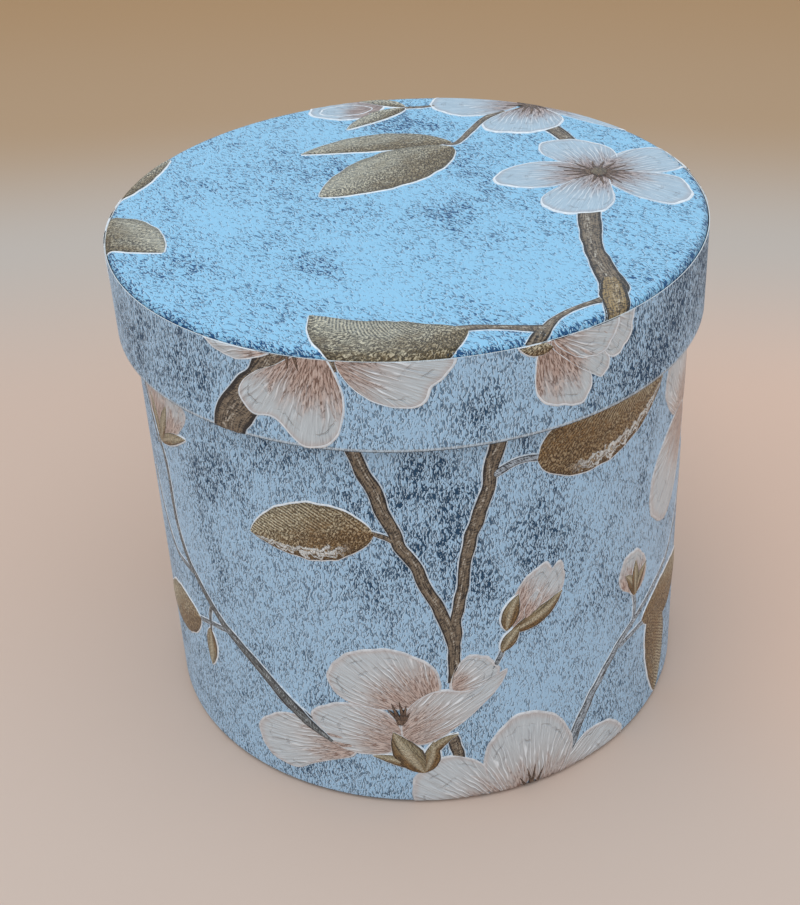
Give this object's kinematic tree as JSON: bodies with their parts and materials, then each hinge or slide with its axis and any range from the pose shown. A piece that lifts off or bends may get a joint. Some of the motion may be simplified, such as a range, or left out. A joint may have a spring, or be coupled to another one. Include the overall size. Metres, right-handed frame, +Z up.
{
  "type": "round lidded box",
  "caption": "Round board box covered in embossed floral paper, with a shallow overlapping lid that lifts straight off.",
  "frame": {"origin": "centre of the face that the box stands on", "axes": "+Z up along the box's axis; the pictured side faces -Y"},
  "size_m": [0.14, 0.14, 0.1273],
  "materials": {
    "embossed_paper": "embossed sky-blue covering paper with a printed flowering branch, satin",
    "lining_paper": "plain cream lining paper, matte",
    "base_paper": "plain off-white paper over the base, matte",
    "greyboard": "grey chipboard, matte"
  },
  "bodies": {
    "box": {"box_wall_board": "greyboard", "box_floor_board": "greyboard", "box_outer_wrap": "embossed_paper", "box_wall_lining": "lining_paper", "box_floor_lining": "lining_paper", "box_base_cover": "base_paper"},
    "lid": {"lid_wall_board": "greyboard", "lid_top_board": "greyboard", "lid_top_cover": "embossed_paper", "lid_band_wrap": "embossed_paper", "lid_top_lining": "lining_paper"}
  },
  "joints": [
    {"name": "lid_lift", "type": "slide", "parent": "box", "child": "lid", "axis": [0, 0, 1], "range_m": [0, 0.14]}
  ]
}
